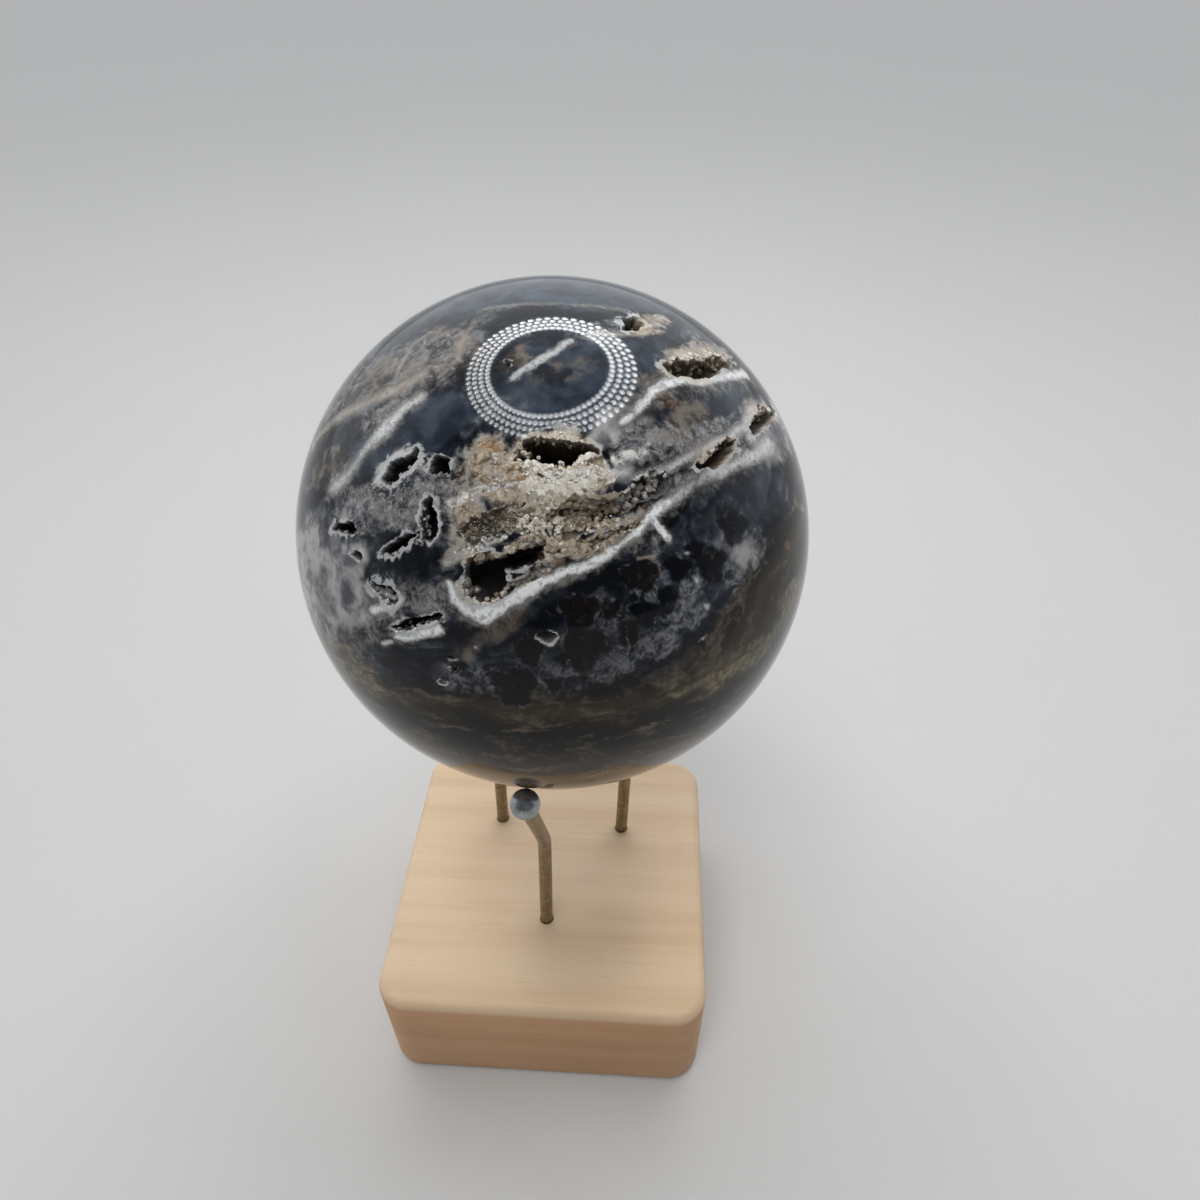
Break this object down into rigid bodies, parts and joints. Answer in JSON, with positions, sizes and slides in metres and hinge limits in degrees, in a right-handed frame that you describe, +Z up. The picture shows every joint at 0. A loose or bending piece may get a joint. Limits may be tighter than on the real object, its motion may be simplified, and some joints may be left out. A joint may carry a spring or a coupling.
{
  "type": "decorative stone sphere on a prong stand",
  "caption": "Polished dark agate sphere with crystal-lined vugs, resting on ball-tipped brass wire prongs set in a small square wooden block; a shelf or table ornament.",
  "frame": {"origin": "on the plane of the underside of the wooden block, straight below the middle of the sphere", "axes": "+Z up through the sphere, -Y the front, where the front prong stands and the vugs show, +X to the right seen from the front"},
  "size_m": [0.06, 0.06, 0.119],
  "materials": {
    "stone": "polished dark grey to black agate with white and tan seams and rough crystal-lined vugs",
    "wood": "pale fine-grained wood, sanded and matt",
    "wire": "aged olive-brown brass wire, satin",
    "tip": "blue-grey ball, half gloss"
  },
  "bodies": {
    "root": {"stone_sphere": "stone", "wood_base": "wood", "prong_front": "wire", "prong_back_right": "wire", "prong_back_left": "wire", "tip_front": "tip", "tip_back_right": "tip", "tip_back_left": "tip"}
  },
  "joints": []
}
